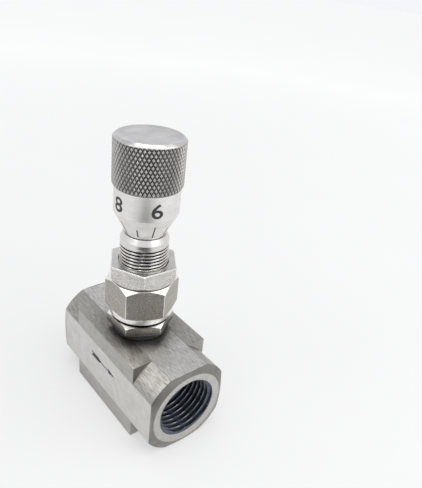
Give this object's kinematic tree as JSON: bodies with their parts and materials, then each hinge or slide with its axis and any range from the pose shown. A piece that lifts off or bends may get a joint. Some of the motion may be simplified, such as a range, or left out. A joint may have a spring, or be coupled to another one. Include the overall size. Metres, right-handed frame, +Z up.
{
  "type": "needle valve",
  "caption": "Stainless bar-stock needle valve with female pipe ports, a panel-mount bonnet and a knurled micrometer dial knob that lifts the needle.",
  "frame": {"origin": "centre of the valve body's underside, on the stem axis", "axes": "+Z up the stem axis towards the knob, +X along the flow towards the outlet port, -Y out of the side face with the flow arrow"},
  "size_m": [0.057, 0.027, 0.0931],
  "materials": {
    "body_steel": "satin stainless steel, milled and linished",
    "stem_steel": "turned stainless steel bar, fine lathe marks",
    "knob_steel": "polished turned stainless steel, diamond knurl on the grip",
    "inner_steel": "ground stainless steel",
    "fastener_steel": "dark spring and screw steel",
    "bronze": "turned bearing bronze",
    "black_rubber": "smooth black seal rubber",
    "white_ptfe": "white waxy sealing plastic"
  },
  "bodies": {
    "valve": {"valve_body": "body_steel", "seat_seal": "white_ptfe", "seat_bush": "inner_steel", "bonnet_gasket": "white_ptfe", "bonnet_seal": "black_rubber", "jam_nut": "stem_steel", "bonnet": "stem_steel", "packing_washer": "inner_steel", "packing_base_ring": "white_ptfe", "packing_rings": "white_ptfe", "packing_top_ring": "white_ptfe", "gland_bush": "bronze", "disc_springs": "fastener_steel", "gland_screw": "inner_steel", "guide_pin": "fastener_steel", "drive_nut": "bronze", "wiper_ring": "black_rubber", "retaining_ring": "fastener_steel", "panel_nut": "stem_steel"},
    "needle_assembly": {"needle": "inner_steel", "needle_clip": "fastener_steel", "thrust_ball": "inner_steel"},
    "knob": {"spindle": "inner_steel", "stop_ring": "fastener_steel", "dial_sleeve": "knob_steel", "dial_screws": "fastener_steel", "grip": "knob_steel", "grip_pin": "fastener_steel"}
  },
  "joints": [
    {"name": "needle_lift", "type": "slide", "parent": "valve", "child": "needle_assembly", "axis": [0, 0, 1], "range_m": [0, 0.004]},
    {"name": "knob_turn", "type": "hinge", "parent": "needle_assembly", "child": "knob", "pos_m": [0, 0, 0.085], "axis": [0, 0, 1], "range_deg": [0, 2880]}
  ],
  "couplings": [
    {"joint": "knob_turn", "follows": "needle_lift", "rad_per_m": 12566}
  ]
}
